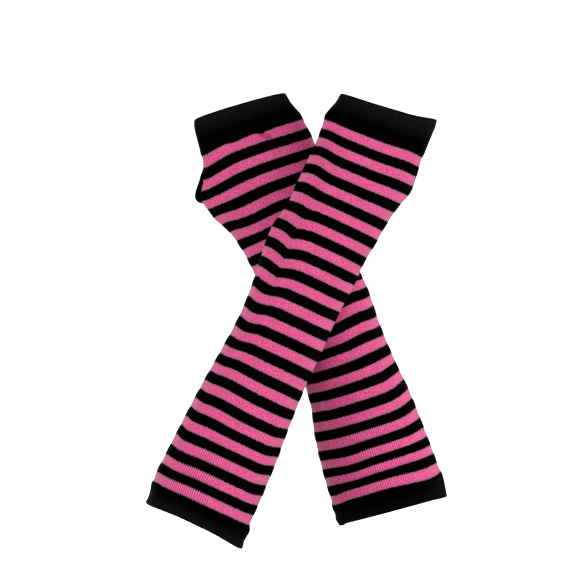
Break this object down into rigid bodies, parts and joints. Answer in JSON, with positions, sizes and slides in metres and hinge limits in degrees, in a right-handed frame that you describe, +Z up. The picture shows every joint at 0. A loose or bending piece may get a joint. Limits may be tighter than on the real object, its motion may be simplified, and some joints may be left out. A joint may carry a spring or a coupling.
{
  "type": "pair of knitted arm warmers",
  "caption": "Two long fingerless knit sleeves, striped, worn open and crossed, with wide hand cuffs, elbow cuffs and thumb holes.",
  "frame": {"origin": "where the wearer's two forearms cross and hold the pair up, halfway between the tubes", "axes": "+Z up towards the fingers, -Y towards the viewer in front, +X to that viewer's right"},
  "size_m": [0.2292, 0.1424, 0.3467],
  "materials": {
    "striped_knit": "plain knit in pink and black stripes, soft and slightly fuzzy",
    "black_knit": "black knit, matt"
  },
  "bodies": {
    "root": {"front_tube": "striped_knit", "front_hand_cuff": "black_knit", "front_elbow_cuff": "black_knit", "front_thumb_tape": "black_knit", "back_tube": "striped_knit", "back_hand_cuff": "black_knit", "back_elbow_cuff": "black_knit", "back_thumb_tape": "black_knit"}
  },
  "joints": []
}
